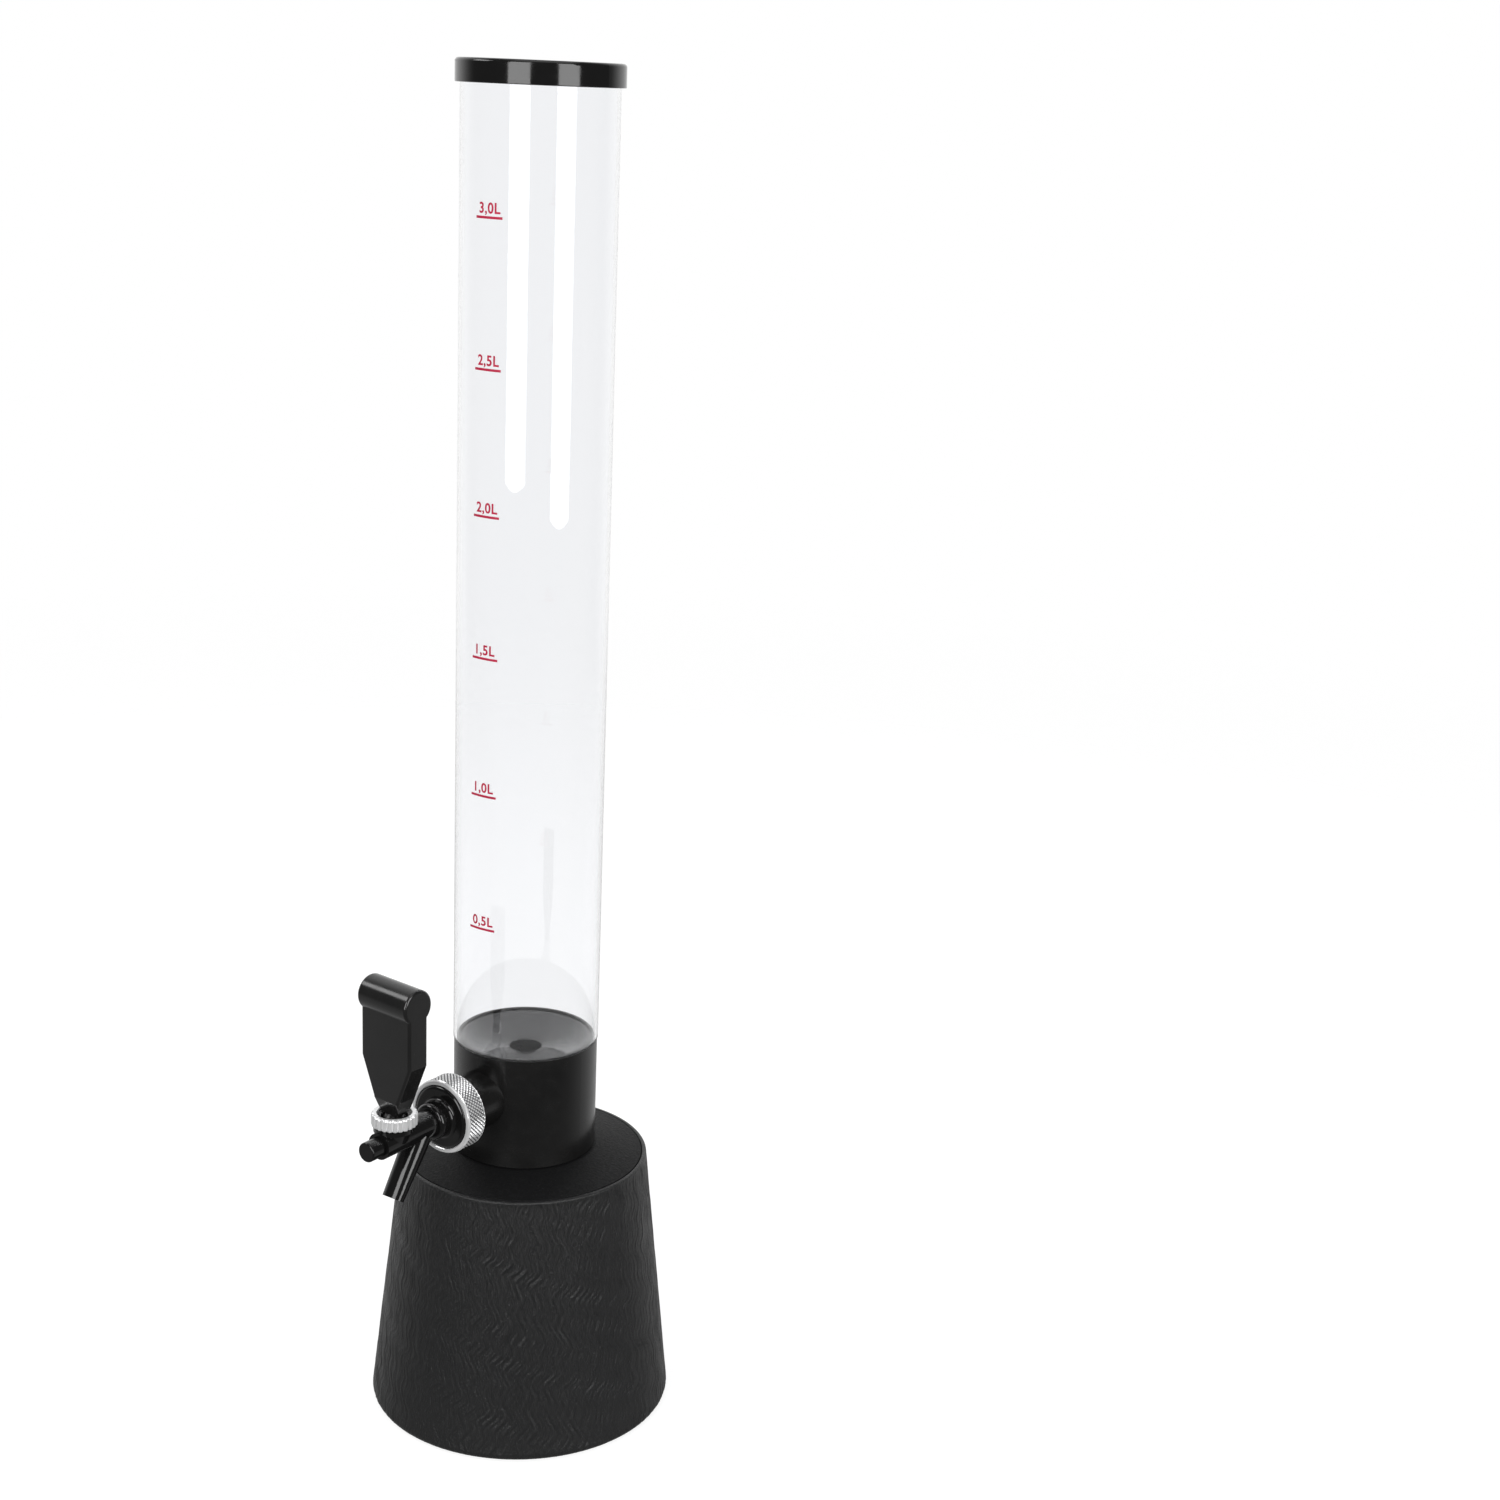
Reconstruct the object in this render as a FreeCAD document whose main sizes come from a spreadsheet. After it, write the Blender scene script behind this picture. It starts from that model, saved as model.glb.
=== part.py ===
# Drink tower: clear tube on a black cup and a tapering base, push-on cap, one tap with a T-handle.
# Millimetres. Origin on the tower's axis at the face the base stands on, +Z up.
# The tap points towards -Y; its own axis is horizontal at height tap_z.
import FreeCAD, Part
import os, math
import Sketcher
from FreeCAD import Vector, Placement, Rotation

os.makedirs("parts", exist_ok=True)
doc = FreeCAD.newDocument("drink_tower")

# ---------------------------------------------------------------- driving dimensions
SIZES = [
    # clear tube
    ("tube_ro", 45.5), ("tube_ri", 43.5), ("tube_lo", 248.8), ("tube_hi", 834.4),
    # cap
    ("cap_ro", 48.4), ("cap_ri", 46.1), ("cap_lo", 825.0), ("cap_hi", 838.3),
    ("cap_roof", 835.0), ("cap_plug_ro", 43.0), ("cap_plug_ri", 41.0), ("cap_plug_lo", 829.0),
    ("cap_round", 2.2), ("cap_seal_lo", 834.6), ("cap_seal_ro", 46.0), ("cap_seal_ri", 43.1),
    # cup
    ("cup_ro", 45.0), ("cup_seat", 248.4), ("cup_spig_r", 43.2), ("cup_hi", 249.6),
    ("cup_mouth_r", 41.6), ("cup_ledge", 247.0), ("cup_ri", 39.0), ("cup_floor", 203.0),
    ("cup_floor_lo", 200.0), ("cup_skirt_r", 41.5), ("cup_lo", 176.2), ("cup_web", 180.2),
    ("cup_tail_ro", 41.0), ("cup_tail_ri", 37.5), ("cup_tail_lo", 152.0),
    ("boss_r", 18.0), ("boss_front", 62.6), ("boss_back", 33.0), ("boss_hole_r", 8.7),
    # dished floor
    ("dish_r", 41.3), ("dish_t", 1.6), ("dish_flat_r", 39.6), ("dish_hole_r", 10.0),
    ("dish_drop", 7.4), ("dish_collar_lo", 236.6), ("dish_collar_t", 1.8), ("dish_step_r", 38.7),
    # base
    ("base_lo", 1.0), ("base_r", 96.4), ("base_wide", 7.0), ("base_round", 5.6), ("rim_r", 78.45), ("rim_z", 169.5),
    ("rim_round", 0.9), ("rim_in", 75.6), ("rim_in_z", 170.0), ("wall", 3.3),
    ("deck_r", 75.2), ("deck_edge", 170.0), ("deck_flat_r", 46.5), ("deck_z", 176.2),
    ("deck_t", 3.0), ("top_t", 3.0), ("base_hole_r", 41.6),
    ("cover_r", 91.8), ("cover_lo", 2.0), ("cover_t", 3.0),
    ("foot_ro", 80.0), ("foot_t", 2.0),
    ("post_r", 5.2), ("post_at", 86.5), ("post_hi", 24.0), ("screw_hole_r", 1.45),
    ("screw_r", 1.4), ("screw_clear_r", 2.0), ("screw_len", 14.0), ("screw_head_r", 3.6), ("screw_head_t", 1.9),
    ("ring_ro", 52.0), ("ring_ri", 41.1), ("ring_hi", 168.6), ("ring_t", 9.0), ("ring_washer_t", 1.5),
    # tap, lengths measured forward from the tower's axis
    ("tap_z", 219.4), ("tail_r", 8.5), ("tail_end", 19.0), ("bore_r", 5.2), ("seat_at", 88.0),
    ("bore_front_r", 4.0), ("flange_back", 76.1), ("flange_front", 81.0), ("flange_r", 20.0),
    ("hub_r", 11.5), ("hub_front", 91.0), ("barrel_r", 8.2), ("barrel_front", 134.2),
    ("gasket_r", 17.0), ("gasket_t", 2.0), ("gasket_hole_r", 8.8),
    ("rn_back", 64.65), ("rn_front", 80.2), ("rn_r", 23.3), ("rn_hole_r", 8.6),
    ("rn_cup_r", 20.35), ("rn_cup_depth", 4.3), ("rn_edge", 0.8),
    ("locknut_r", 14.2), ("locknut_back", 23.0), ("locknut_t", 8.0), ("locknut_hole_r", 8.5),
    ("plug_r", 6.1), ("plug_front", 145.0), ("plug_spigot_r", 3.9), ("plug_spigot_back", 129.6),
    # bonnet over the barrel
    ("bon_at", 120.7), ("ball_z", 230.0), ("ball_r", 8.0), ("bon_cone_lo", 217.4), ("bon_cone_r", 7.6),
    ("bon_brim_lo", 226.0), ("bon_brim_hi", 228.9), ("bon_brim_x", 12.0), ("bon_brim_y", 12.6), ("bon_brim_fwd", 0.3),
    ("bon_neck_r", 10.9), ("bon_neck_hi", 235.1), ("bon_bore_r", 8.6), ("bon_bore_lo", 223.6),
    ("lever_slot_r", 5.5),
    ("nut_r", 13.9), ("nut_lo", 229.4), ("nut_hi", 237.3), ("nut_hole_r", 10.98), ("nut_lip_lo", 236.0),
    ("nut_lip_r", 10.5), ("nut_edge", 0.7),
    ("ret_flange_r", 10.7), ("ret_lo", 235.2), ("ret_flange_hi", 235.9), ("ret_r", 10.35), ("ret_hi", 236.5), ("ret_open_r", 9.8),
    ("ret_skirt_r", 8.5), ("ret_skirt_lo", 231.9), ("ball_gap", 0.12),
    ("ball_seat_lo", 223.7), ("ball_seat_hi", 227.1),
    # lever
    ("stem_r", 4.2), ("stem_hi", 236.8), ("stud_r", 2.5), ("stud_hi", 256.0), ("finger_r", 2.5), ("tip_r", 2.2),
    # valve shaft
    ("shaft_r", 3.9), ("shaft_front", 128.4), ("shaft_back", 109.5), ("shaft_thin_r", 1.9), ("shaft_thin_back", 87.9),
    ("slot_w", 4.9), ("vwash_r", 4.9), ("vwash_t", 2.6), ("vcore_r", 1.2), ("vscrew_r", 2.8), ("vscrew_t", 1.6),
    # handle
    ("han_w", 40.8), ("han_t", 14.6), ("bar_z", 308.8), ("bar_r", 10.75), ("han_taper_z", 270.7), ("han_neck_z", 239.8), ("han_mid_z", 247.5), ("han_mid_w", 21.3),
    ("han_neck_w", 17.6), ("han_lo", 236.8), ("han_lo_w", 11.4), ("han_lo_t", 8.0), ("han_side_z", 246.5), ("han_edge", 1.6),
    ("han_turn", -3.9), ("insert_r", 4.1), ("insert_lo", 240.0), ("insert_hi", 257.0),
    # spout
    ("sp_top_y", 99.2), ("sp_top_z", 215.0), ("sp_end_y", 122.1), ("sp_end_z", 181.0),
    ("sp_top_a", 8.7), ("sp_top_b", 7.4), ("sp_end_a", 7.45), ("sp_end_b", 5.3), ("sp_bore_r", 3.5),
]
sheet = doc.addObject("Spreadsheet::Sheet", "dims")
VAL = {}
for i, (name, value) in enumerate(SIZES, start=1):
    sheet.set("A%d" % i, name)
    sheet.set("B%d" % i, repr(float(value)))
    sheet.setAlias("B%d" % i, name)
    VAL[name] = float(value)
doc.recompute()


def ev(expr):
    """The number an expression over the sheet's names gives."""
    return float(reckon(expr))


def reckon(expr):
    # sums and products of names and numbers, with brackets, read left to right by precedence
    tokens, word = [], ""
    for ch in expr.replace(" ", "") + "+":
        if ch in "+-*/()":
            if word:
                tokens.append(word)
                word = ""
            tokens.append(ch)
        else:
            word += ch
    tokens.pop()
    pos = [0]

    def atom():
        t = tokens[pos[0]]
        pos[0] += 1
        if t == "(":
            v = total()
            pos[0] += 1
            return v
        if t == "-":
            return -atom()
        return VAL[t] if t in VAL else float(t)

    def product():
        v = atom()
        while pos[0] < len(tokens) and tokens[pos[0]] in "*/":
            op = tokens[pos[0]]
            pos[0] += 1
            w = atom()
            v = v * w if op == "*" else v / w
        return v

    def total():
        v = product()
        while pos[0] < len(tokens) and tokens[pos[0]] in "+-":
            op = tokens[pos[0]]
            pos[0] += 1
            w = product()
            v = v + w if op == "+" else v - w
        return v

    return total()


def dims(expr):
    """The same expression with the sheet's name before each cell name."""
    out, word = "", ""
    for ch in expr + " ":
        if ch.isalnum() or ch == "_":
            word += ch
        else:
            if word:
                out += ("dims." + word) if word in VAL else word
                word = ""
            out += ch
    return out.strip()


def bind(obj, prop, expr):
    obj.setExpression(prop, dims(expr))


def plane(body, role):
    return [f for f in body.Origin.OriginFeatures if f.Role == role][0]


def new_body(name):
    b = doc.addObject("PartDesign::Body", name)
    b.Label = name
    return b


def fix_point(sk, geo, end, x, y):
    """Holds one point of a sketch at two expressions measured from its origin."""
    for kind, expr, axis in (("DistanceX", x, -2), ("DistanceY", y, -1)):
        v = ev(expr)
        if abs(v) < 1e-9:
            sk.addConstraint(Sketcher.Constraint("PointOnObject", geo, end, axis))
        elif v > 0:
            n = sk.addConstraint(Sketcher.Constraint(kind, -1, 1, geo, end, v))
            sk.setExpression("Constraints[%d]" % n, dims(expr))
        else:
            n = sk.addConstraint(Sketcher.Constraint(kind, geo, end, -1, 1, -v))
            sk.setExpression("Constraints[%d]" % n, "-(" + dims(expr) + ")")


def outline(body, name, role, pts):
    """A closed outline of straight lines through points given as pairs of expressions."""
    sk = body.newObject("Sketcher::SketchObject", name)
    sk.AttachmentSupport = [(plane(body, role), "")]
    sk.MapMode = "FlatFace"
    xy = [(ev(a), ev(b)) for a, b in pts]
    n = len(xy)
    for i in range(n):
        a, b = xy[i], xy[(i + 1) % n]
        sk.addGeometry(Part.LineSegment(Vector(a[0], a[1], 0), Vector(b[0], b[1], 0)), False)
    for i in range(n):
        sk.addConstraint(Sketcher.Constraint("Coincident", i, 2, (i + 1) % n, 1))
    for i, (a, b) in enumerate(pts):
        fix_point(sk, i, 1, a, b)
    return sk


def circle_sketch(body, name, role, x, y, r):
    sk = body.newObject("Sketcher::SketchObject", name)
    sk.AttachmentSupport = [(plane(body, role), "")]
    sk.MapMode = "FlatFace"
    sk.addGeometry(Part.Circle(Vector(ev(x), ev(y), 0), Vector(0, 0, 1), ev(r)), False)
    fix_point(sk, 0, 3, x, y)
    n = sk.addConstraint(Sketcher.Constraint("Radius", 0, ev(r)))
    sk.setExpression("Constraints[%d]" % n, dims(r))
    return sk


def turned(body, name, pts):
    """Revolves an outline of (radius, height) pairs about the body's own Z axis."""
    sk = outline(body, name + "_profile", "XZ_Plane", pts)
    rev = body.newObject("PartDesign::Revolution", name + "_turn")
    rev.Profile = sk
    rev.ReferenceAxis = (sk, ["V_Axis"])
    rev.Angle = 360.0
    doc.recompute()
    return rev


def edges_where(shape, test):
    return ["Edge%d" % (i + 1) for i, e in enumerate(shape.Edges) if test(e)]


def ring_edge(r, z, tol=0.03):
    def test(e):
        c = e.Curve
        if not isinstance(c, Part.Circle):
            return False
        return abs(c.Radius - r) < tol and abs(c.Center.z - z) < tol and math.hypot(c.Center.x, c.Center.y) < tol
    return test


def round_ring(body, rings, expr, kind="Fillet", name=None):
    tip = body.Tip
    names = []
    for r, z in rings:
        names += edges_where(tip.Shape, ring_edge(ev(r), ev(z)))
    f = body.newObject("PartDesign::" + kind, name or (body.Name + "_" + kind.lower() + str(len(body.Group))))
    f.Base = (tip, names)
    prop = "Radius" if kind == "Fillet" else "Size"
    setattr(f, prop, ev(expr))
    bind(f, prop, expr)
    doc.recompute()
    if not names:
        raise RuntimeError("no edge to round on " + body.Name)
    return f


def cylinder(name, r, length, x="0", y="0", z="0", direction=(0, 0, 1)):
    c = doc.addObject("Part::Cylinder", name)
    bind(c, "Radius", r)
    bind(c, "Height", length)
    c.Radius, c.Height = ev(r), ev(length)
    c.Placement = Placement(Vector(ev(x), ev(y), ev(z)), Rotation(Vector(0, 0, 1), Vector(*direction)))
    for axis, expr in (("x", x), ("y", y), ("z", z)):
        bind(c, "Placement.Base." + axis, expr)
    return c


FORWARD = Rotation(Vector(1, 0, 0), 90)  # a body's own Z points to -Y, its own Y to +Z


def tap_place(body):
    """Lays a turned body along the tap's axis: its own height is the distance forward."""
    body.Placement = Placement(Vector(0, 0, VAL["tap_z"]), FORWARD)
    bind(body, "Placement.Base.z", "tap_z")


NODES = []


def node(obj, label=None):
    if label:
        obj.Label = label
    NODES.append(obj)
    return obj


# ---------------------------------------------------------------- base
# the deck's slope carries the height from its flat middle to the rim
slope = "(deck_z-deck_edge)/(deck_r-deck_flat_r)"
ledge_edge_z = "deck_z-deck_t-(rim_in-deck_flat_r)*" + slope
under_edge_z = "deck_z-deck_t-top_t-(rim_in-wall-deck_flat_r)*" + slope

b = new_body("base_shell")
turned(b, "base_shell", [
    ("base_r-wall", "base_lo"), ("base_r", "base_lo"), ("base_r", "base_wide"), ("rim_r", "rim_z"),
    ("rim_in", "rim_in_z"), ("rim_in", ledge_edge_z), ("deck_flat_r", "deck_z-deck_t"),
    ("base_hole_r", "deck_z-deck_t"), ("base_hole_r", "deck_z-deck_t-top_t"),
    ("deck_flat_r", "deck_z-deck_t-top_t"), ("rim_in-wall", under_edge_z), ("base_r-wall", "base_wide"),
])
round_ring(b, [("base_r", "base_lo")], "wall-0.4")
# four posts inside the wall take the cover's screws
pk = circle_sketch(b, "post_circle", "XY_Plane", "post_at", "0", "post_r")
bind(pk, "AttachmentOffset.Base.z", "cover_lo+cover_t")
pad = b.newObject("PartDesign::Pad", "post_pad")
pad.Profile = pk
pad.Length = ev("post_hi-cover_lo-cover_t")
bind(pad, "Length", "post_hi-cover_lo-cover_t")
doc.recompute()
pat = b.newObject("PartDesign::PolarPattern", "post_pattern")
pat.Originals = [pad]
pat.Axis = ([f for f in b.Origin.OriginFeatures if f.Role == "Z_Axis"][0], [""])
pat.Angle = 360.0
pat.Occurrences = 4
b.Tip = pat
doc.recompute()
hk = circle_sketch(b, "pilot_circle", "XY_Plane", "post_at", "0", "screw_hole_r")
bind(hk, "AttachmentOffset.Base.z", "cover_lo+cover_t")
pocket = b.newObject("PartDesign::Pocket", "pilot_pocket")
pocket.Profile = hk
pocket.Length = ev("post_hi-cover_lo-cover_t-2.5")
bind(pocket, "Length", "post_hi-cover_lo-cover_t-2.5")
pocket.Reversed = True
doc.recompute()
pat2 = b.newObject("PartDesign::PolarPattern", "pilot_pattern")
pat2.Originals = [pocket]
pat2.Axis = ([f for f in b.Origin.OriginFeatures if f.Role == "Z_Axis"][0], [""])
pat2.Angle = 360.0
pat2.Occurrences = 4
b.Tip = pat2
doc.recompute()
base_shell = node(b)

b = new_body("base_deck_plate")
turned(b, "base_deck_plate", [
    ("base_hole_r", "deck_z-deck_t"), ("deck_flat_r", "deck_z-deck_t"),
    ("deck_r", "deck_edge-deck_t"), ("deck_r", "deck_edge"), ("deck_flat_r", "deck_z"), ("base_hole_r", "deck_z"),
])
round_ring(b, [("deck_r", "deck_edge")], "0.5")
node(b)

b = new_body("base_bottom_cover")
turned(b, "base_bottom_cover", [
    ("0", "cover_lo"), ("cover_r", "cover_lo"), ("cover_r", "cover_lo+cover_t"), ("0", "cover_lo+cover_t"),
])
hk = circle_sketch(b, "cover_screw_circle", "XY_Plane", "post_at", "0", "screw_clear_r")
pocket = b.newObject("PartDesign::Pocket", "cover_screw_pocket")
pocket.Profile = hk
pocket.Type = "ThroughAll"
pocket.Reversed = True
doc.recompute()
head = outline(b, "cover_sink_profile", "XZ_Plane", [
    ("post_at", "cover_lo-0.5"), ("post_at+screw_head_r+0.6", "cover_lo-0.5"), ("post_at+screw_head_r+0.1", "cover_lo"),
    ("post_at+screw_clear_r", "cover_lo+screw_head_t"), ("post_at", "cover_lo+screw_head_t"),
])
groove = b.newObject("PartDesign::Groove", "cover_sink")
groove.Profile = head
groove.ReferenceAxis = (head, ["Edge5"])
groove.Angle = 360.0
doc.recompute()
pat = b.newObject("PartDesign::PolarPattern", "cover_screw_pattern")
pat.Originals = [pocket, groove]
pat.Axis = ([f for f in b.Origin.OriginFeatures if f.Role == "Z_Axis"][0], [""])
pat.Angle = 360.0
pat.Occurrences = 4
b.Tip = pat
doc.recompute()
cover = node(b)

node(cylinder("foot_pad", "foot_ro", "foot_t"), "foot_pad")

# countersunk screws, one profile turned four times
b = new_body("cover_screws")
sk = outline(b, "screw_profile", "XZ_Plane", [
    ("post_at", "cover_lo"), ("post_at+screw_head_r", "cover_lo"), ("post_at+screw_r", "cover_lo+screw_head_t"),
    ("post_at+screw_r", "cover_lo+screw_len-1.2"), ("post_at+0.3", "cover_lo+screw_len"), ("post_at", "cover_lo+screw_len"),
])
rev = b.newObject("PartDesign::Revolution", "screw_turn")
rev.Profile = sk
rev.ReferenceAxis = (sk, ["Edge6"])
rev.Angle = 360.0
doc.recompute()
b.AllowCompound = True
pat = b.newObject("PartDesign::PolarPattern", "screw_pattern")
pat.Originals = [rev]
pat.Axis = ([f for f in b.Origin.OriginFeatures if f.Role == "Z_Axis"][0], [""])
pat.Angle = 360.0
pat.Occurrences = 4
b.Tip = pat
doc.recompute()
if len(b.Shape.Solids) != 4:
    raise RuntimeError("the cover needs four screws")
node(b)

# ---------------------------------------------------------------- cup
b = new_body("cup_turned")
turned(b, "cup_turned", [
    ("0", "cup_floor_lo"), ("cup_skirt_r", "cup_floor_lo"), ("cup_skirt_r", "cup_web"), ("cup_tail_ri", "cup_web"),
    ("cup_tail_ri", "cup_tail_lo"), ("cup_tail_ro", "cup_tail_lo"), ("cup_tail_ro", "cup_lo"), ("cup_ro", "cup_lo"),
    ("cup_ro", "cup_seat"), ("cup_spig_r", "cup_seat"), ("cup_spig_r", "cup_hi"), ("cup_mouth_r", "cup_hi"),
    ("cup_mouth_r", "cup_ledge"), ("cup_ri", "cup_ledge"), ("cup_ri", "cup_floor"), ("0", "cup_floor"),
])
round_ring(b, [("cup_ro", "cup_lo")], "0.8")
boss = cylinder("cup_boss", "boss_r", "boss_front-boss_back", y="-boss_back", z="tap_z", direction=(0, -1, 0))
boss_hole = cylinder("cup_boss_hole", "boss_hole_r", "boss_front-boss_back+8", y="-(boss_back-4)", z="tap_z", direction=(0, -1, 0))
cup_fuse = doc.addObject("Part::Fuse", "cup_fuse")
cup_fuse.Base, cup_fuse.Tool = b, boss
cup = doc.addObject("Part::Cut", "tower_cup")
cup.Base, cup.Tool = cup_fuse, boss_hole
node(cup, "tower_cup")

b = new_body("cup_ring_nut")
turned(b, "cup_ring_nut", [
    ("ring_ri", "ring_hi-ring_t"), ("ring_ro-4", "ring_hi-ring_t"), ("ring_ro-4", "ring_hi-2.5"), ("ring_ro", "ring_hi-2.5"),
    ("ring_ro", "ring_hi"), ("ring_ri", "ring_hi"),
])
# eight wrench slots round the nut's lower part
rk = outline(b, "slot_outline", "XY_Plane", [
    ("ring_ro-8", "-3.5"), ("ring_ro", "-3.5"), ("ring_ro", "3.5"), ("ring_ro-8", "3.5"),
])
bind(rk, "AttachmentOffset.Base.z", "ring_hi-ring_t")
pocket = b.newObject("PartDesign::Pocket", "slot_pocket")
pocket.Profile = rk
pocket.Length = ev("ring_t-2.5")
bind(pocket, "Length", "ring_t-2.5")
pocket.Reversed = True
doc.recompute()
pat = b.newObject("PartDesign::PolarPattern", "slot_pattern")
pat.Originals = [pocket]
pat.Axis = ([f for f in b.Origin.OriginFeatures if f.Role == "Z_Axis"][0], [""])
pat.Angle = 360.0
pat.Occurrences = 8
b.Tip = pat
doc.recompute()
node(b)

b = new_body("cup_nut_washer")
turned(b, "cup_nut_washer", [
    ("ring_ri+0.4", "ring_hi"), ("deck_flat_r", "ring_hi"), ("deck_flat_r", "deck_z-deck_t-top_t"), ("ring_ri+0.4", "deck_z-deck_t-top_t"),
])
node(b)

b = new_body("floor_dish")
turned(b, "floor_dish", [
    ("dish_step_r", "cup_ledge"), ("dish_r", "cup_ledge"), ("dish_r", "cup_ledge+dish_t"), ("dish_flat_r", "cup_ledge+dish_t"),
    ("dish_hole_r", "cup_ledge+dish_t-dish_drop"), ("dish_hole_r", "dish_collar_lo"),
    ("dish_hole_r+dish_collar_t", "dish_collar_lo"), ("dish_hole_r+dish_collar_t", "cup_ledge-dish_drop+0.24"),
    ("dish_step_r", "cup_ledge-0.16"),
])
round_ring(b, [("dish_hole_r", "cup_ledge+dish_t-dish_drop")], "0.7")
node(b)

b = new_body("tube_gasket")
turned(b, "tube_gasket", [
    ("cup_spig_r", "cup_seat"), ("cup_ro", "cup_seat"), ("cup_ro", "tube_lo"), ("cup_spig_r", "tube_lo"),
])
node(b)

tube_o = cylinder("tube_outer", "tube_ro", "tube_hi-tube_lo", z="tube_lo")
tube_i = cylinder("tube_inner", "tube_ri", "tube_hi-tube_lo", z="tube_lo")
tube = doc.addObject("Part::Cut", "tube")
tube.Base, tube.Tool = tube_o, tube_i
node(tube, "tube")

b = new_body("cap")
turned(b, "cap", [
    ("0", "cap_roof"), ("cap_plug_ri", "cap_roof"), ("cap_plug_ri", "cap_plug_lo"), ("cap_plug_ro", "cap_plug_lo"),
    ("cap_plug_ro", "cap_roof"), ("cap_ri", "cap_roof"), ("cap_ri", "cap_lo"), ("cap_ro", "cap_lo"), ("cap_ro", "cap_hi"), ("0", "cap_hi"),
])
round_ring(b, [("cap_ro", "cap_hi")], "cap_round")
round_ring(b, [("cap_ro", "cap_lo")], "0.5")
node(b)

b = new_body("cap_gasket")
turned(b, "cap_gasket", [
    ("cap_seal_ri", "cap_seal_lo"), ("cap_seal_ro", "cap_seal_lo"), ("cap_seal_ro", "cap_roof"), ("cap_seal_ri", "cap_roof"),
])
node(b)

# ---------------------------------------------------------------- tap, on its own forward axis
b = new_body("tap_turned")
turned(b, "tap_turned", [
    ("0", "tail_end"), ("tail_r", "tail_end"), ("tail_r", "flange_back"), ("flange_r", "flange_back"),
    ("flange_r", "flange_front"), ("hub_r", "flange_front"), ("hub_r", "hub_front"), ("barrel_r", "hub_front"),
    ("barrel_r", "barrel_front"), ("0", "barrel_front"),
])
round_ring(b, [("flange_r", "flange_front")], "2.2")
round_ring(b, [("hub_r", "hub_front")], "2.6")
round_ring(b, [("hub_r", "flange_front")], "2.4")
tap_place(b)
tap_turned = b

# flared boss under the bonnet nut, with an oval brim and a threaded neck
cone = doc.addObject("Part::Cone", "bonnet_cone")
for prop, expr in (("Radius1", "bon_cone_r"), ("Radius2", "bon_brim_x-0.8"), ("Height", "bon_brim_lo-bon_cone_lo")):
    setattr(cone, prop, ev(expr))
    bind(cone, prop, expr)
cone.Placement = Placement(Vector(0, -VAL["bon_at"], VAL["bon_cone_lo"]), Rotation())
bind(cone, "Placement.Base.y", "-bon_at")
bind(cone, "Placement.Base.z", "bon_cone_lo")
brim_e = doc.addObject("Part::Ellipse", "brim_ellipse")
for prop, expr in (("MajorRadius", "bon_brim_y"), ("MinorRadius", "bon_brim_x")):
    setattr(brim_e, prop, ev(expr))
    bind(brim_e, prop, expr)
brim_e.Placement = Placement(Vector(0, -VAL["bon_at"] - VAL["bon_brim_fwd"], VAL["bon_brim_lo"]), Rotation(Vector(0, 0, 1), 90))
bind(brim_e, "Placement.Base.y", "-(bon_at+bon_brim_fwd)")
bind(brim_e, "Placement.Base.z", "bon_brim_lo")
brim = doc.addObject("Part::Extrusion", "bonnet_brim")
brim.Base = brim_e
brim.DirMode = "Custom"
brim.Dir = Vector(0, 0, 1)
brim.LengthFwd = ev("bon_brim_hi-bon_brim_lo")
bind(brim, "LengthFwd", "bon_brim_hi-bon_brim_lo")
brim.Solid = True
neck = cylinder("bonnet_neck", "bon_neck_r", "bon_neck_hi-bon_brim_hi+1", y="-bon_at", z="bon_brim_hi-1")


def spout_section(name, a, bb, y, z):
    e = doc.addObject("Part::Ellipse", name)
    e.MajorRadius, e.MinorRadius = ev(a), ev(bb)
    bind(e, "MajorRadius", a)
    bind(e, "MinorRadius", bb)
    run = Vector(0, -(VAL["sp_end_y"] - VAL["sp_top_y"]), VAL["sp_end_z"] - VAL["sp_top_z"])
    run.normalize()
    # the section's long way is X, its normal runs down the spout
    side = Vector(1, 0, 0)
    up = run.cross(side)
    m = FreeCAD.Matrix(side.x, up.x, run.x, 0, side.y, up.y, run.y, 0, side.z, up.z, run.z, 0, 0, 0, 0, 1)
    e.Placement = Placement(Vector(0, ev(y), ev(z)), Placement(m).Rotation)
    bind(e, "Placement.Base.y", y)
    bind(e, "Placement.Base.z", z)
    return e


sp_top = spout_section("spout_root", "sp_top_a", "sp_top_b", "-sp_top_y", "sp_top_z")
sp_end = spout_section("spout_lip", "sp_end_a", "sp_end_b", "-sp_end_y", "sp_end_z")
spout = doc.addObject("Part::Loft", "spout_loft")
spout.Sections = [sp_top, sp_end]
spout.Solid = True
spout.Ruled = True
doc.recompute()

run = Vector(0, -(VAL["sp_end_y"] - VAL["sp_top_y"]), VAL["sp_end_z"] - VAL["sp_top_z"])
run_len = run.Length
run.normalize()
tap_fuse = doc.addObject("Part::MultiFuse", "tap_fuse")
tap_fuse.Shapes = [tap_turned, cone, brim, neck, spout]
tap_fuse.Refine = True
doc.recompute()

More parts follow.
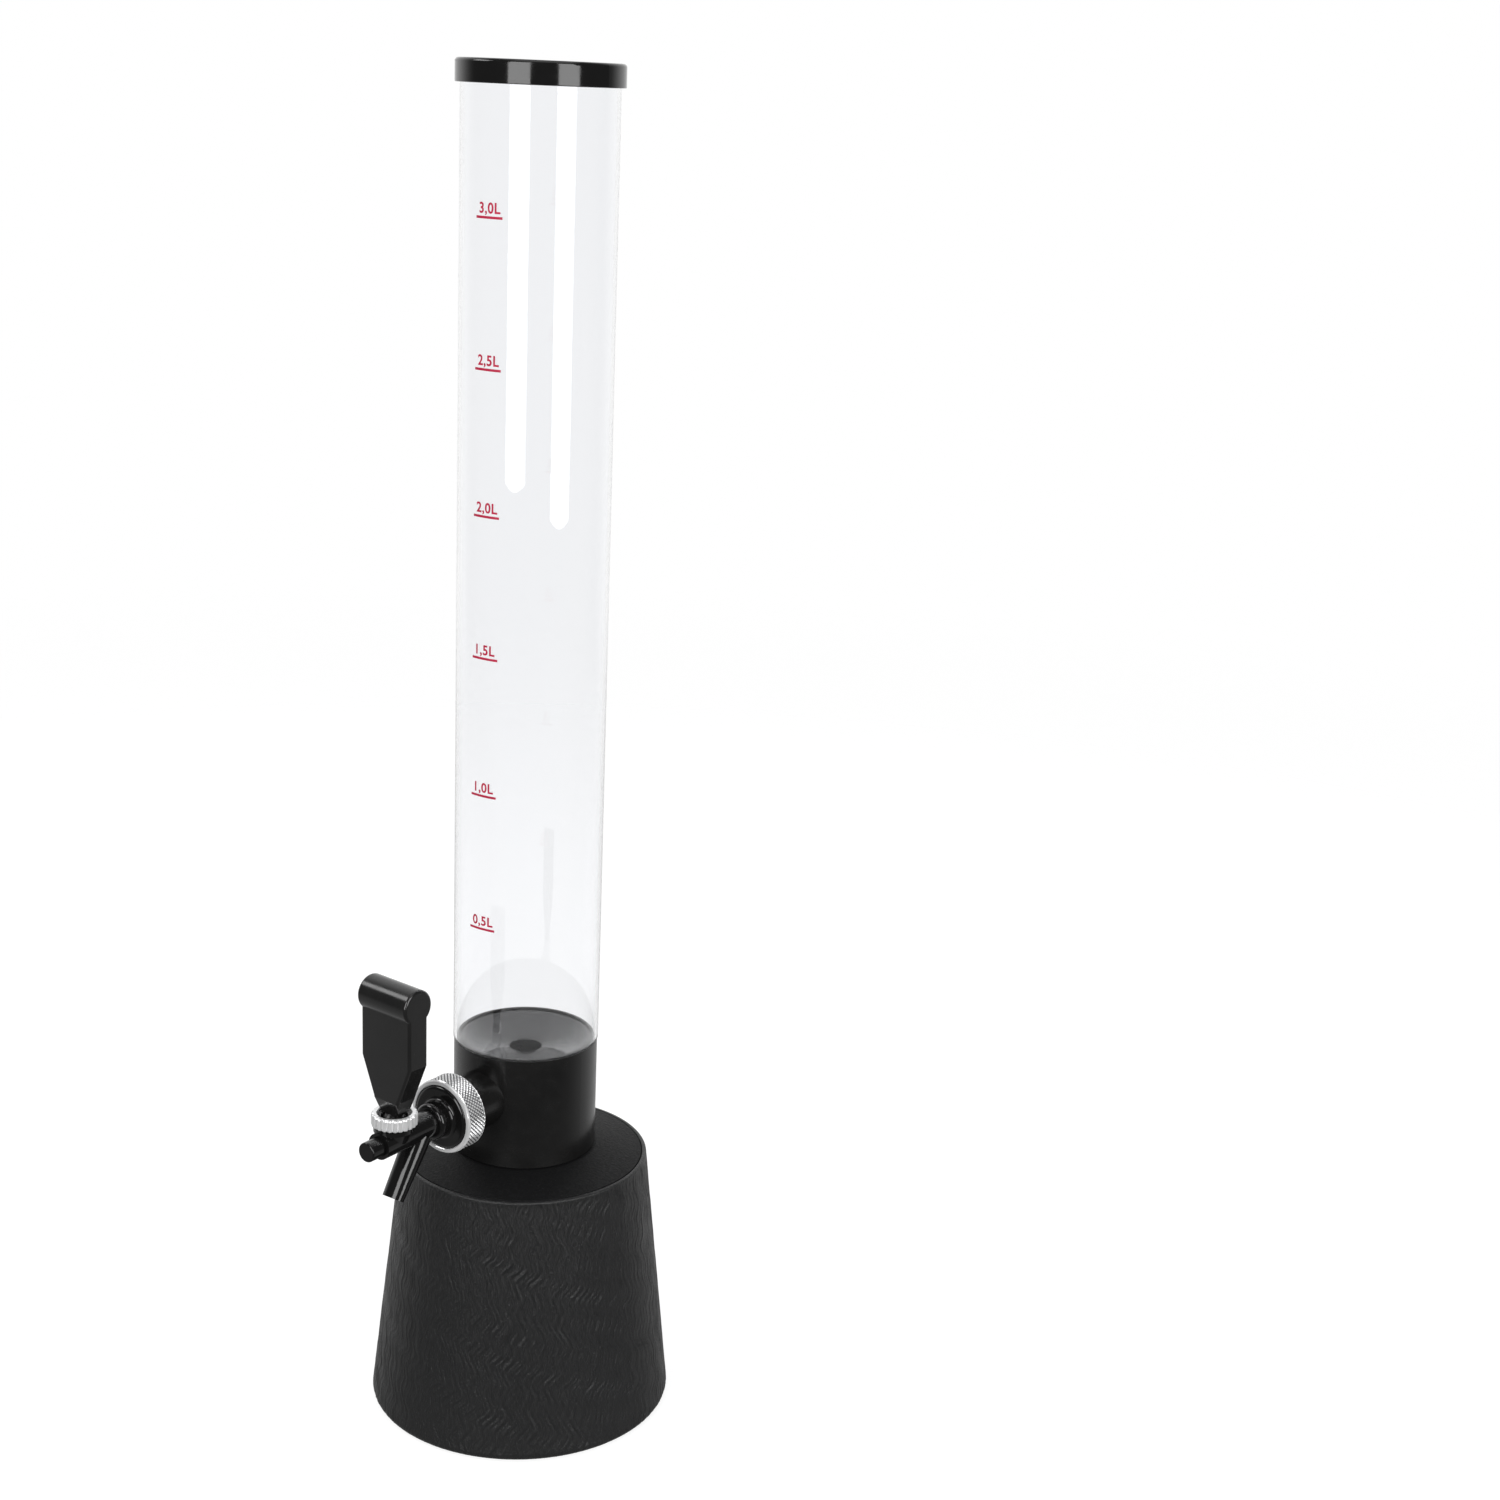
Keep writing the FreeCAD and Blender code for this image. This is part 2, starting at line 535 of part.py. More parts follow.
# bores: tail, seat, barrel, lever slot, ball socket, spout
bore_tail = cylinder("bore_tail", "bore_r", "seat_at-tail_end+1", y="-(tail_end-1)", z="tap_z", direction=(0, -1, 0))
bore_front = cylinder("bore_front", "bore_front_r", "barrel_front-seat_at+2", y="-(seat_at-1)", z="tap_z", direction=(0, -1, 0))
bore_ball = cylinder("bore_ball", "bon_bore_r", "bon_neck_hi-bon_bore_lo+1", y="-bon_at", z="bon_bore_lo")
bore_lever = cylinder("bore_lever", "lever_slot_r", "bon_bore_lo-tap_z+0.5", y="-bon_at", z="tap_z")
bore_spout = doc.addObject("Part::Cylinder", "bore_spout")
bore_spout.Radius = VAL["sp_bore_r"]
bind(bore_spout, "Radius", "sp_bore_r")
bore_spout.Height = run_len + 6.5
start = Vector(0, -VAL["sp_top_y"], VAL["sp_top_z"]) - run * 4.5
bore_spout.Placement = Placement(start, Rotation(Vector(0, 0, 1), run))
bores = doc.addObject("Part::MultiFuse", "tap_bores")
bores.Shapes = [bore_tail, bore_front, bore_ball, bore_lever, bore_spout]
tap_body = doc.addObject("Part::Cut", "tap_body")
tap_body.Base, tap_body.Tool = tap_fuse, bores
node(tap_body, "tap_body")

b = new_body("ring_nut")
turned(b, "ring_nut", [
    ("rn_hole_r", "rn_back"), ("rn_r", "rn_back"), ("rn_r", "rn_front"), ("rn_cup_r", "rn_front"),
    ("rn_cup_r", "rn_front-rn_cup_depth"), ("rn_hole_r", "rn_front-rn_cup_depth"),
])
round_ring(b, [("rn_r", "rn_back"), ("rn_r", "rn_front")], "rn_edge", kind="Chamfer")
tap_place(b)
node(b)

for label, at in (("tap_outer_gasket", "boss_front"), ("tap_inner_gasket", "boss_back-gasket_t")):
    b = new_body(label)
    big = "gasket_r" if label == "tap_outer_gasket" else "locknut_r"
    turned(b, label, [("gasket_hole_r", at), (big, at), (big, at + "+gasket_t"), ("gasket_hole_r", at + "+gasket_t")])
    tap_place(b)
    node(b)

# hexagonal lock nut inside the cup
b = new_body("tap_lock_nut")
turned(b, "tap_lock_nut", [
    ("locknut_hole_r", "locknut_back"), ("locknut_r", "locknut_back"), ("locknut_r", "locknut_back+locknut_t"), ("locknut_hole_r", "locknut_back+locknut_t"),
])
hexo = outline(b, "hex_outline", "XY_Plane", [
    ("locknut_r*0.8661", "locknut_r"), ("locknut_r*0.8661", "-locknut_r"), ("locknut_r*1.5", "-locknut_r"), ("locknut_r*1.5", "locknut_r"),
])
pocket = b.newObject("PartDesign::Pocket", "hex_flat")
pocket.Profile = hexo
pocket.Type = "ThroughAll"
pocket.Reversed = True
doc.recompute()
pat = b.newObject("PartDesign::PolarPattern", "hex_flats")
pat.Originals = [pocket]
pat.Axis = ([f for f in b.Origin.OriginFeatures if f.Role == "Z_Axis"][0], [""])
pat.Angle = 360.0
pat.Occurrences = 6
b.Tip = pat
doc.recompute()
tap_place(b)
lock_nut = node(b)

b = new_body("front_plug")
turned(b, "front_plug", [
    ("0", "plug_spigot_back"), ("plug_spigot_r", "plug_spigot_back"), ("plug_spigot_r", "barrel_front"),
    ("plug_r-0.5", "barrel_front"), ("plug_r-0.5", "barrel_front+1"), ("plug_r", "barrel_front+1"), ("plug_r", "plug_front"), ("0", "plug_front"),
])
round_ring(b, [("plug_r", "plug_front")], "0.8")
tap_place(b)
node(b)

# valve shaft: slotted guide in front, thin rod through the seat
b = new_body("valve_shaft")
turned(b, "valve_shaft", [
    ("0", "seat_at-2.9"), ("vcore_r", "seat_at-2.9"), ("vcore_r", "shaft_thin_back"), ("shaft_thin_r", "shaft_thin_back"),
    ("shaft_thin_r", "shaft_back"), ("shaft_r", "shaft_back"), ("shaft_r", "shaft_front"), ("0", "shaft_front"),
])
# the slot leaves a floor under the lever's tip; above it the shaft is cut down to clear the ball
sl = outline(b, "slot_outline_shaft", "YZ_Plane", [
    ("-tip_r-0.25", "bon_at-slot_w/2"), ("1.3", "bon_at-slot_w/2"), ("2.3", "bon_at-slot_w/2-0.9"), ("2.3", "bon_at-5.2"),
    ("shaft_r+1", "bon_at-5.2"), ("shaft_r+1", "shaft_front+1"), ("2.3", "shaft_front+1"), ("2.3", "bon_at+slot_w/2+0.9"),
    ("1.3", "bon_at+slot_w/2"), ("-tip_r-0.25", "bon_at+slot_w/2"),
])
pocket = b.newObject("PartDesign::Pocket", "shaft_slot")
pocket.Profile = sl
pocket.Type = "ThroughAll"
pocket.Midplane = True
doc.recompute()
tap_place(b)
shaft = node(b)

b = new_body("valve_washer")
turned(b, "valve_washer", [
    ("vcore_r+0.02", "seat_at-0.1-vwash_t"), ("vwash_r", "seat_at-0.1-vwash_t"), ("vwash_r", "seat_at-0.1"), ("vcore_r+0.02", "seat_at-0.1"),
])
tap_place(b)
node(b)

b = new_body("valve_washer_screw")
turned(b, "valve_washer_screw", [
    ("0", "seat_at-2.9-vscrew_t"), ("vscrew_r", "seat_at-2.9-vscrew_t"), ("vscrew_r", "seat_at-2.9"), ("0", "seat_at-2.9"),
])
tap_place(b)
node(b)

# ---------------------------------------------------------------- lever and bonnet, upright at bon_at
def bonnet_place(body):
    body.Placement = Placement(Vector(0, -VAL["bon_at"], 0), Rotation())
    bind(body, "Placement.Base.y", "-bon_at")


def sphere(name, r, z):
    s = doc.addObject("Part::Sphere", name)
    s.Radius = ev(r)
    bind(s, "Radius", r)
    s.Placement = Placement(Vector(0, -VAL["bon_at"], ev(z)), Rotation())
    bind(s, "Placement.Base.y", "-bon_at")
    bind(s, "Placement.Base.z", z)
    return s


ball = sphere("lever_ball", "ball_r", "ball_z")
tip = sphere("lever_tip", "tip_r", "tap_z")
stem = cylinder("lever_stem", "stem_r", "stem_hi-ball_z", y="-bon_at", z="ball_z")
stud = cylinder("lever_stud", "stud_r", "stud_hi-stem_hi+1", y="-bon_at", z="stem_hi-1")
finger = doc.addObject("Part::Cone", "lever_finger")
for prop, expr in (("Radius1", "tip_r*0.8"), ("Radius2", "finger_r"), ("Height", "ball_z-tap_z")):
    setattr(finger, prop, ev(expr))
    bind(finger, prop, expr)
finger.Placement = Placement(Vector(0, -VAL["bon_at"], VAL["tap_z"]), Rotation())
bind(finger, "Placement.Base.y", "-bon_at")
bind(finger, "Placement.Base.z", "tap_z")
lever = doc.addObject("Part::MultiFuse", "lever")
lever.Shapes = [ball, tip, stem, stud, finger]
node(lever, "lever")

# washer under the ball and retainer above it, both hollowed to the ball
b = new_body("seat_blank")
turned(b, "seat_blank", [
    ("lever_slot_r", "ball_seat_lo"), ("bon_bore_r-0.05", "ball_seat_lo"), ("bon_bore_r-0.05", "ball_seat_hi"), ("lever_slot_r", "ball_seat_hi"),
])
bonnet_place(b)
room = sphere("ball_room", "ball_r+ball_gap", "ball_z")
seat = doc.addObject("Part::Cut", "ball_seat_washer")
seat.Base, seat.Tool = b, room
node(seat, "ball_seat_washer")

b = new_body("retainer_blank")
turned(b, "retainer_blank", [
    ("6.4", "ret_skirt_lo"), ("ret_skirt_r", "ret_skirt_lo"), ("ret_skirt_r", "ret_lo"), ("ret_flange_r", "ret_lo"),
    ("ret_flange_r", "ret_flange_hi"), ("ret_r", "ret_flange_hi"), ("ret_r", "ret_hi"), ("ret_open_r", "ret_hi"),
    ("9.0", "ret_lo+0.5"), ("8.1", "ret_lo"), ("7.3", "ret_skirt_lo+1.4"),
])
bonnet_place(b)
room2 = sphere("ball_room_top", "ball_r+ball_gap", "ball_z")
ret = doc.addObject("Part::Cut", "ball_retainer")
ret.Base, ret.Tool = b, room2
node(ret, "ball_retainer")

b = new_body("bonnet_nut")
turned(b, "bonnet_nut", [
    ("nut_hole_r", "nut_lo"), ("nut_r", "nut_lo"), ("nut_r", "nut_hi"), ("nut_lip_r", "nut_hi"),
    ("nut_lip_r", "nut_lip_lo"), ("nut_hole_r", "nut_lip_lo"),
])
round_ring(b, [("nut_r", "nut_lo"), ("nut_r", "nut_hi")], "nut_edge", kind="Chamfer")
# finger flutes round the nut
fk_ = circle_sketch(b, "flute_circle", "XY_Plane", "nut_r+0.55", "0", "1.1")
bind(fk_, "AttachmentOffset.Base.z", "nut_lo-1")
pocket = b.newObject("PartDesign::Pocket", "flute_pocket")
pocket.Profile = fk_
pocket.Length = ev("nut_hi-nut_lo+2")
bind(pocket, "Length", "nut_hi-nut_lo+2")
pocket.Reversed = True
doc.recompute()
pat = b.newObject("PartDesign::PolarPattern", "flutes")
pat.Originals = [pocket]
pat.Axis = ([f for f in b.Origin.OriginFeatures if f.Role == "Z_Axis"][0], [""])
pat.Angle = 360.0
pat.Occurrences = 24
b.Tip = pat
doc.recompute()
bonnet_place(b)
bonnet_nut = node(b)

# ---------------------------------------------------------------- handle: flat paddle, tapering neck, cross bar
b = new_body("handle_paddle")
front = outline(b, "paddle_outline", "XZ_Plane", [
    ("-han_lo_w/2", "han_lo"), ("han_lo_w/2", "han_lo"), ("han_neck_w/2", "han_neck_z"), ("han_mid_w/2", "han_mid_z"),
    ("han_w/2", "han_taper_z"), ("han_w/2", "bar_z"), ("-han_w/2", "bar_z"), ("-han_w/2", "han_taper_z"),
    ("-han_mid_w/2", "han_mid_z"), ("-han_neck_w/2", "han_neck_z"),
])
pad = b.newObject("PartDesign::Pad", "paddle_pad")
pad.Profile = front
pad.Length = ev("han_t")
bind(pad, "Length", "han_t")
pad.Midplane = True
doc.recompute()
for side in ("", "-"):
    sk = outline(b, "paddle_side_" + ("a" if side else "b"), "YZ_Plane", [
        (side + "han_lo_t/2", "han_lo-1"), (side + "(han_t/2+2)", "han_lo-1"), (side + "(han_t/2+2)", "han_side_z"),
        (side + "han_t/2", "han_side_z"), (side + "han_lo_t/2", "han_lo"),
    ])
    cutp = b.newObject("PartDesign::Pocket", "paddle_thin_" + ("a" if side else "b"))
    cutp.Profile = sk
    cutp.Type = "ThroughAll"
    cutp.Midplane = True
    doc.recompute()


def upright_or_slanted(e):
    if not isinstance(e.Curve, Part.Line):
        return False
    d = e.Curve.Direction
    zlo = min(v.Point.z for v in e.Vertexes)
    zhi = max(v.Point.z for v in e.Vertexes)
    side = max(abs(v.Point.x) for v in e.Vertexes)
    return abs(d.z) > 0.3 and zhi > zlo + 1 and side > 6.0 and abs(e.Vertexes[0].Point.y) > 3.5


tipf = b.Tip
f = b.newObject("PartDesign::Fillet", "paddle_edges")
f.Base = (tipf, edges_where(tipf.Shape, upright_or_slanted))
f.Radius = ev("han_edge")
bind(f, "Radius", "han_edge")
doc.recompute()
paddle = b

b = new_body("handle_bar")
turned(b, "handle_bar", [("0", "0"), ("bar_r", "0"), ("bar_r", "han_w"), ("0", "han_w")])
round_ring(b, [("bar_r", "0"), ("bar_r", "han_w")], "1.7")
b.Placement = Placement(Vector(-VAL["han_w"] / 2, 0, VAL["bar_z"]), Rotation(Vector(0, 0, 1), Vector(1, 0, 0)))
bind(b, "Placement.Base.x", "-han_w/2")
bind(b, "Placement.Base.z", "bar_z")
bar = b
han_hole = cylinder("handle_insert_hole", "insert_r", "insert_hi-insert_lo+0.3", z="insert_lo")
stud_hole = cylinder("handle_stud_hole", "stud_r+0.15", "insert_lo-han_lo+2", z="han_lo-1")
han_fuse = doc.addObject("Part::Fuse", "handle_fuse")
han_fuse.Base, han_fuse.Tool = paddle, bar
han_dimple = doc.addObject("Part::Sphere", "handle_dimple")
han_dimple.Radius = ev("ball_r+0.02")
bind(han_dimple, "Radius", "ball_r+0.02")
han_dimple.Placement = Placement(Vector(0, 0, VAL["ball_z"]), Rotation())
bind(han_dimple, "Placement.Base.z", "ball_z")
holes = doc.addObject("Part::MultiFuse", "handle_holes")
holes.Shapes = [han_hole, stud_hole, han_dimple]
handle = doc.addObject("Part::Cut", "handle")
handle.Base, handle.Tool = han_fuse, holes
handle.Placement = Placement(Vector(0, -VAL["bon_at"], 0), Rotation(Vector(0, 0, 1), VAL["han_turn"]))
bind(handle, "Placement.Base.y", "-bon_at")
node(handle, "handle")

b = new_body("handle_insert")
turned(b, "handle_insert", [("stud_r+0.02", "insert_lo"), ("insert_r", "insert_lo"), ("insert_r", "insert_hi"), ("stud_r+0.02", "insert_hi")])
bonnet_place(b)
node(b)

# ---------------------------------------------------------------- check and write
doc.recompute()
bad = []
for o in doc.Objects:
    if any(s in ("Invalid", "Error") for s in o.State):
        bad.append((o.Name, o.State))
if bad:
    raise RuntimeError("failed objects: %r" % bad)
labels = [o.Label for o in NODES]
if len(set(labels)) != len(labels):
    raise RuntimeError("labels repeat")
total = 0
for o in NODES:
    s = o.Shape
    if s.isNull() or not s.isValid() or not s.Solids:
        raise RuntimeError("bad shape: " + o.Label)
    bb = s.BoundBox
    total += s.Volume
    print("%-20s solids %d volume %10.1f  x %7.2f %7.2f  y %8.2f %8.2f  z %7.2f %7.2f" % (
        o.Label, len(s.Solids), s.Volume, bb.XMin, bb.XMax, bb.YMin, bb.YMax, bb.ZMin, bb.ZMax))
for o in NODES:
    o.Shape.exportStep("parts/%s.step" % o.Label)
print("nodes", len(NODES), "volume", round(total, 1))
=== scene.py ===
# Drink tower: looks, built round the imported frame. Metres.
import math
import bpy
import bmesh
import numpy as np
from mathutils import Matrix, Vector

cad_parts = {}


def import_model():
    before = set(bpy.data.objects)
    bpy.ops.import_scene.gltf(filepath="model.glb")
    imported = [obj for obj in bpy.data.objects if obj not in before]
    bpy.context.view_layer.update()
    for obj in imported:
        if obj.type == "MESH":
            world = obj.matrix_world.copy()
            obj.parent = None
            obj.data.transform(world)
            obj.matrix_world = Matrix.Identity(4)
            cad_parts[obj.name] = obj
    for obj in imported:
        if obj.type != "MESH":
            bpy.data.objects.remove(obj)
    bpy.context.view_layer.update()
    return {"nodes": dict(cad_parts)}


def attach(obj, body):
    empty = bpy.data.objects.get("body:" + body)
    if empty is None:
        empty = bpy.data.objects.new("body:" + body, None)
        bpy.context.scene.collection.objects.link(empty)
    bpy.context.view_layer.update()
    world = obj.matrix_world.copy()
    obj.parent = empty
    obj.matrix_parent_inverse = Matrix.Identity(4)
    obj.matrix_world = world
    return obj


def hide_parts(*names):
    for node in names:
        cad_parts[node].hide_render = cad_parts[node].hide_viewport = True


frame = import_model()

N = frame["nodes"]
MM = 0.001
TAU = 2 * math.pi
rng = np.random.default_rng(7)


# ------------------------------------------------------------------ small helpers
def link(o):
    bpy.context.scene.collection.objects.link(o)
    return o


def mesh_object(name, verts, faces, smooth=True, sharp_deg=None):
    me = bpy.data.meshes.new(name)
    me.from_pydata([tuple(v) for v in verts], [], [tuple(f) for f in faces])
    me.update()
    o = link(bpy.data.objects.new(name, me))
    if smooth:
        for p in me.polygons:
            p.use_smooth = True
    if sharp_deg:
        me.set_sharp_from_angle(angle=math.radians(sharp_deg))
    return o


def lathe(profile, segments, turn=None, closed=True):
    """Rings of the profile's (r, z) points round Z. turn(r, z, angle, i) may change r and z."""
    verts, faces = [], []
    n = len(profile)
    for i, (r, z) in enumerate(profile):
        for k in range(segments):
            a = TAU * k / segments
            rr, zz = (r, z) if turn is None else turn(r, z, a, i)
            verts.append((rr * math.cos(a), rr * math.sin(a), zz))
    last = n if closed else n - 1
    for i in range(last):
        j = (i + 1) % n
        for k in range(segments):
            m = (k + 1) % segments
            faces.append((i * segments + k, i * segments + m, j * segments + m, j * segments + k))
    return verts, faces


def arc(cx, cz, r, a0, a1, n):
    """Points of an arc in the (r, z) half plane, angles in degrees."""
    return [(cx + r * math.cos(math.radians(a0 + (a1 - a0) * i / n)),
             cz + r * math.sin(math.radians(a0 + (a1 - a0) * i / n))) for i in range(n + 1)]


def steps(p, q, n):
    """n points from p towards q, without q."""
    return [(p[0] + (q[0] - p[0]) * i / n, p[1] + (q[1] - p[1]) * i / n) for i in range(n)]


def fix_normals(o):
    bm = bmesh.new()
    bm.from_mesh(o.data)
    bmesh.ops.recalc_face_normals(bm, faces=bm.faces)
    bm.to_mesh(o.data)
    bm.free()
    o.data.update()


# ------------------------------------------------------------------ camera
def place_camera():
    dist, high, az, pitch, yaw, roll = 1.393452, 0.833229, 39.568, 16.39, -5.539, 2.482
    focal, cx, cy = 2365.182, 750.0, 775.0
    a, th, ya, r = (math.radians(v) for v in (az, pitch, yaw, roll))
    place = Vector((math.sin(a) * dist, -math.cos(a) * dist, high))
    fx, fy = -math.sin(a), math.cos(a)
    fx, fy = math.cos(ya) * fx - math.sin(ya) * fy, math.sin(ya) * fx + math.cos(ya) * fy
    f = Vector((fx * math.cos(th), fy * math.cos(th), -math.sin(th)))
    right = f.cross(Vector((0, 0, 1))).normalized()
    up = right.cross(f)
    right2 = math.cos(r) * right + math.sin(r) * up
    up2 = -math.sin(r) * right + math.cos(r) * up
    cam = bpy.data.cameras.new("camera")
    cam.sensor_width = 36.0
    cam.lens = focal / 1500 * 36.0
    cam.shift_x = -(cx - 750) / 1500
    cam.shift_y = (cy - 750) / 1500
    cam.clip_start, cam.clip_end = 0.01, 100
    o = link(bpy.data.objects.new("camera", cam))
    m = Matrix.Identity(4)
    for i in range(3):
        m[i][0], m[i][1], m[i][2], m[i][3] = right2[i], up2[i], -f[i], place[i]
    o.matrix_world = m
    bpy.context.scene.camera = o
    return place, Vector((-math.sin(a), math.cos(a), 0))


cam_place, away = place_camera()


# ------------------------------------------------------------------ node helpers
class Mat:
    """A material with short names for its nodes and links."""

    def __init__(self, name):
        self.m = bpy.data.materials.new(name)
        self.m.use_nodes = True
        self.t = self.m.node_tree
        self.t.nodes.clear()
        self.out = self.t.nodes.new("ShaderNodeOutputMaterial")
        self.co = self.t.nodes.new("ShaderNodeTexCoord").outputs["Object"]

    def node(self, kind, **kw):
        n = self.t.nodes.new("ShaderNode" + kind)
        for k, v in kw.items():
            if k in n.inputs.keys():
                n.inputs[k].default_value = v
            else:
                setattr(n, k, v)
        return n

    def wire(self, a, b):
        self.t.links.new(a, b)

    def scaled(self, x, y, z):
        n = self.node("Mapping")
        n.inputs["Scale"].default_value = (x, y, z)
        self.wire(self.co, n.inputs["Vector"])
        return n.outputs["Vector"]

    def noise(self, vector, scale, detail=3.0, rough=0.5, distort=0.0):
        n = self.node("TexNoise", Scale=scale, Detail=detail, Roughness=rough, Distortion=distort)
        self.wire(vector, n.inputs["Vector"])
        return n.outputs["Fac"]

    def ramp(self, fac, stops, smooth=False):
        n = self.node("ValToRGB")
        e = n.color_ramp.elements
        while len(e) > len(stops):
            e.remove(e[-1])
        while len(e) < len(stops):
            e.new(0.5)
        for el, (p, c) in zip(e, stops):
            el.position = p
            el.color = tuple(c) + (1,) if len(c) == 3 else c
        if smooth:
            n.color_ramp.interpolation = "EASE"
        self.wire(fac, n.inputs["Fac"])
        return n.outputs["Color"]

    def span(self, fac, lo, hi, a=0.0, b=1.0):
        n = self.node("MapRange")
        for k, v in (("From Min", a), ("From Max", b), ("To Min", lo), ("To Max", hi)):
            n.inputs[k].default_value = v
        self.wire(fac, n.inputs["Value"])
        return n.outputs["Result"]

    def math(self, op, a, b=None):
        n = self.node("Math", operation=op)
        for i, v in enumerate((a, b)):
            if v is None:
                continue
            if isinstance(v, (int, float)):
                n.inputs[i].default_value = v
            else:
                self.wire(v, n.inputs[i])
        return n.outputs["Value"]

    def bump(self, height, strength, distance, normal=None):
        n = self.node("Bump", Strength=strength, Distance=distance)
        self.wire(height, n.inputs["Height"])
        if normal is not None:
            self.wire(normal, n.inputs["Normal"])
        return n.outputs["Normal"]

    def shader(self, **kw):
        n = self.node("BsdfPrincipled")
        for k, v in kw.items():
            name = k.replace("_", " ")
            if isinstance(v, bpy.types.NodeSocket):
                self.wire(v, n.inputs[name])
            else:
                n.inputs[name].default_value = v
        return n

    def done(self, n):
        self.wire(n.outputs[0], self.out.inputs["Surface"])
        return self.m


def mottled(mt, vec, scale, a, b):
    return mt.ramp(mt.noise(vec, scale, 4.0, 0.6), [(0.3, a), (0.7, b)])


# bark-like moulded plastic: fine upright crinkles, a little paler on their crests
def bark_plastic(name="bark_plastic", spec=0.5, rough=(0.47, 0.30), tones=((0.0034, 0.0035, 0.0037), (0.0068, 0.0070, 0.0074), (0.013, 0.0134, 0.014)), deep=0.00055):
    mt = Mat(name)
    long = mt.scaled(1, 1, 0.12)
    short = mt.scaled(1, 1, 0.42)
    streak = mt.noise(long, 520, 4.0, 0.62, 0.35)
    crinkle = mt.noise(short, 900, 3.0, 0.55, 0.5)
    pore = mt.noise(mt.co, 2600, 2.0, 0.5)
    h = mt.math("ADD", mt.math("MULTIPLY", streak, 1.0), mt.math("MULTIPLY", crinkle, 0.55))
    h2 = mt.math("ADD", h, mt.math("MULTIPLY", pore, 0.16))
    nrm = mt.bump(h2, 1.0, deep)
    cloud = mt.noise(mt.scaled(1, 1, 0.5), 14, 3.0, 0.5)
    tone = mt.math("ADD", mt.math("MULTIPLY", h, 0.55), mt.math("MULTIPLY", cloud, 0.25))
    col = mt.ramp(tone, [(0.38, tones[0]), (0.62, tones[1]), (0.8, tones[2])])
    r = mt.span(h, rough[0], rough[1], 0.5, 1.1)
    return mt.done(mt.shader(Base_Color=col, Roughness=r, Normal=nrm, Specular_IOR_Level=spec))


def satin_black(name="satin_black", tone=0.0085, rough=(0.30, 0.40), spec=0.36):
    mt = Mat(name)
    col = mottled(mt, mt.co, 30, (tone * 0.85,) * 3, (tone * 1.2, tone * 1.18, tone * 1.15))
    r = mt.span(mt.noise(mt.co, 120, 4.0, 0.6), rough[0], rough[1], 0.3, 0.7)
    nrm = mt.bump(mt.noise(mt.co, 3200, 2.0, 0.5), 0.35, 0.00003)
    return mt.done(mt.shader(Base_Color=col, Roughness=r, Normal=nrm, Specular_IOR_Level=spec))


def gloss_black(name="gloss_black", tone=0.006, rough=(0.07, 0.13), spec=0.5, coat=0.0):
    mt = Mat(name)
    col = mottled(mt, mt.co, 40, (tone * 0.9,) * 3, (tone * 1.15, tone * 1.13, tone * 1.12))
    r = mt.span(mt.noise(mt.co, 160, 4.0, 0.6), rough[0], rough[1], 0.3, 0.7)
    nrm = mt.bump(mt.noise(mt.co, 260, 3.0, 0.5), 0.25, 0.00004)
    return mt.done(mt.shader(Base_Color=col, Roughness=r, Normal=nrm, Specular_IOR_Level=spec, Coat_Weight=coat, Coat_Roughness=0.05))


def chrome():
    mt = Mat("chrome")
    col = mottled(mt, mt.co, 60, (0.90, 0.905, 0.91), (0.96, 0.96, 0.965))
    r = mt.span(mt.noise(mt.co, 500, 4.0, 0.6), 0.07, 0.16, 0.3, 0.7)
    nrm = mt.bump(mt.noise(mt.co, 900, 3.0, 0.5), 0.2, 0.00003)
    # painted shade: the grooves, where the mesh marks them, get a dark grey base colour that stands in for the shadow
    # they would hold
    groove = mt.node("Attribute", attribute_name="groove")
    deep = mt.node("Mix", data_type="RGBA")
    mt.wire(groove.outputs["Fac"], deep.inputs[0])
    mt.wire(col, deep.inputs[6])
    deep.inputs[7].default_value = (0.13, 0.13, 0.135, 1)
    return mt.done(mt.shader(Base_Color=deep.outputs[2], Roughness=r, Metallic=0.52, Normal=nrm))


def plain_metal(name, a, b, rough):
    mt = Mat(name)
    col = mottled(mt, mt.co, 80, a, b)
    r = mt.span(mt.noise(mt.scaled(1, 1, 6), 400, 4.0, 0.6), rough[0], rough[1], 0.3, 0.7)
    return mt.done(mt.shader(Base_Color=col, Roughness=r, Metallic=1.0))


def rubber():
    mt = Mat("rubber")
    col = mottled(mt, mt.co, 90, (0.010, 0.010, 0.010), (0.016, 0.016, 0.0155))
    r = mt.span(mt.noise(mt.co, 300, 3.0, 0.6), 0.62, 0.78, 0.3, 0.7)
    nrm = mt.bump(mt.noise(mt.co, 2400, 2.0, 0.5), 0.4, 0.00008)
    return mt.done(mt.shader(Base_Color=col, Roughness=r, Normal=nrm))


def grey_dish():
    mt = Mat("dish_plastic")
    col = mottled(mt, mt.co, 45, (0.006, 0.006, 0.0065), (0.009, 0.009, 0.0095))
    r = mt.span(mt.noise(mt.co, 140, 4.0, 0.6), 0.05, 0.10, 0.3, 0.7)
    nrm = mt.bump(mt.noise(mt.co, 220, 3.0, 0.5), 0.3, 0.00006)
    return mt.done(mt.shader(Base_Color=col, Roughness=r, Normal=nrm, Specular_IOR_Level=0.82))


def white_plastic():
    mt = Mat("white_plastic")
    col = mottled(mt, mt.co, 60, (0.72, 0.72, 0.70), (0.80, 0.80, 0.79))
    r = mt.span(mt.noise(mt.co, 300, 3.0, 0.6), 0.30, 0.42, 0.3, 0.7)
    return mt.done(mt.shader(Base_Color=col, Roughness=r))


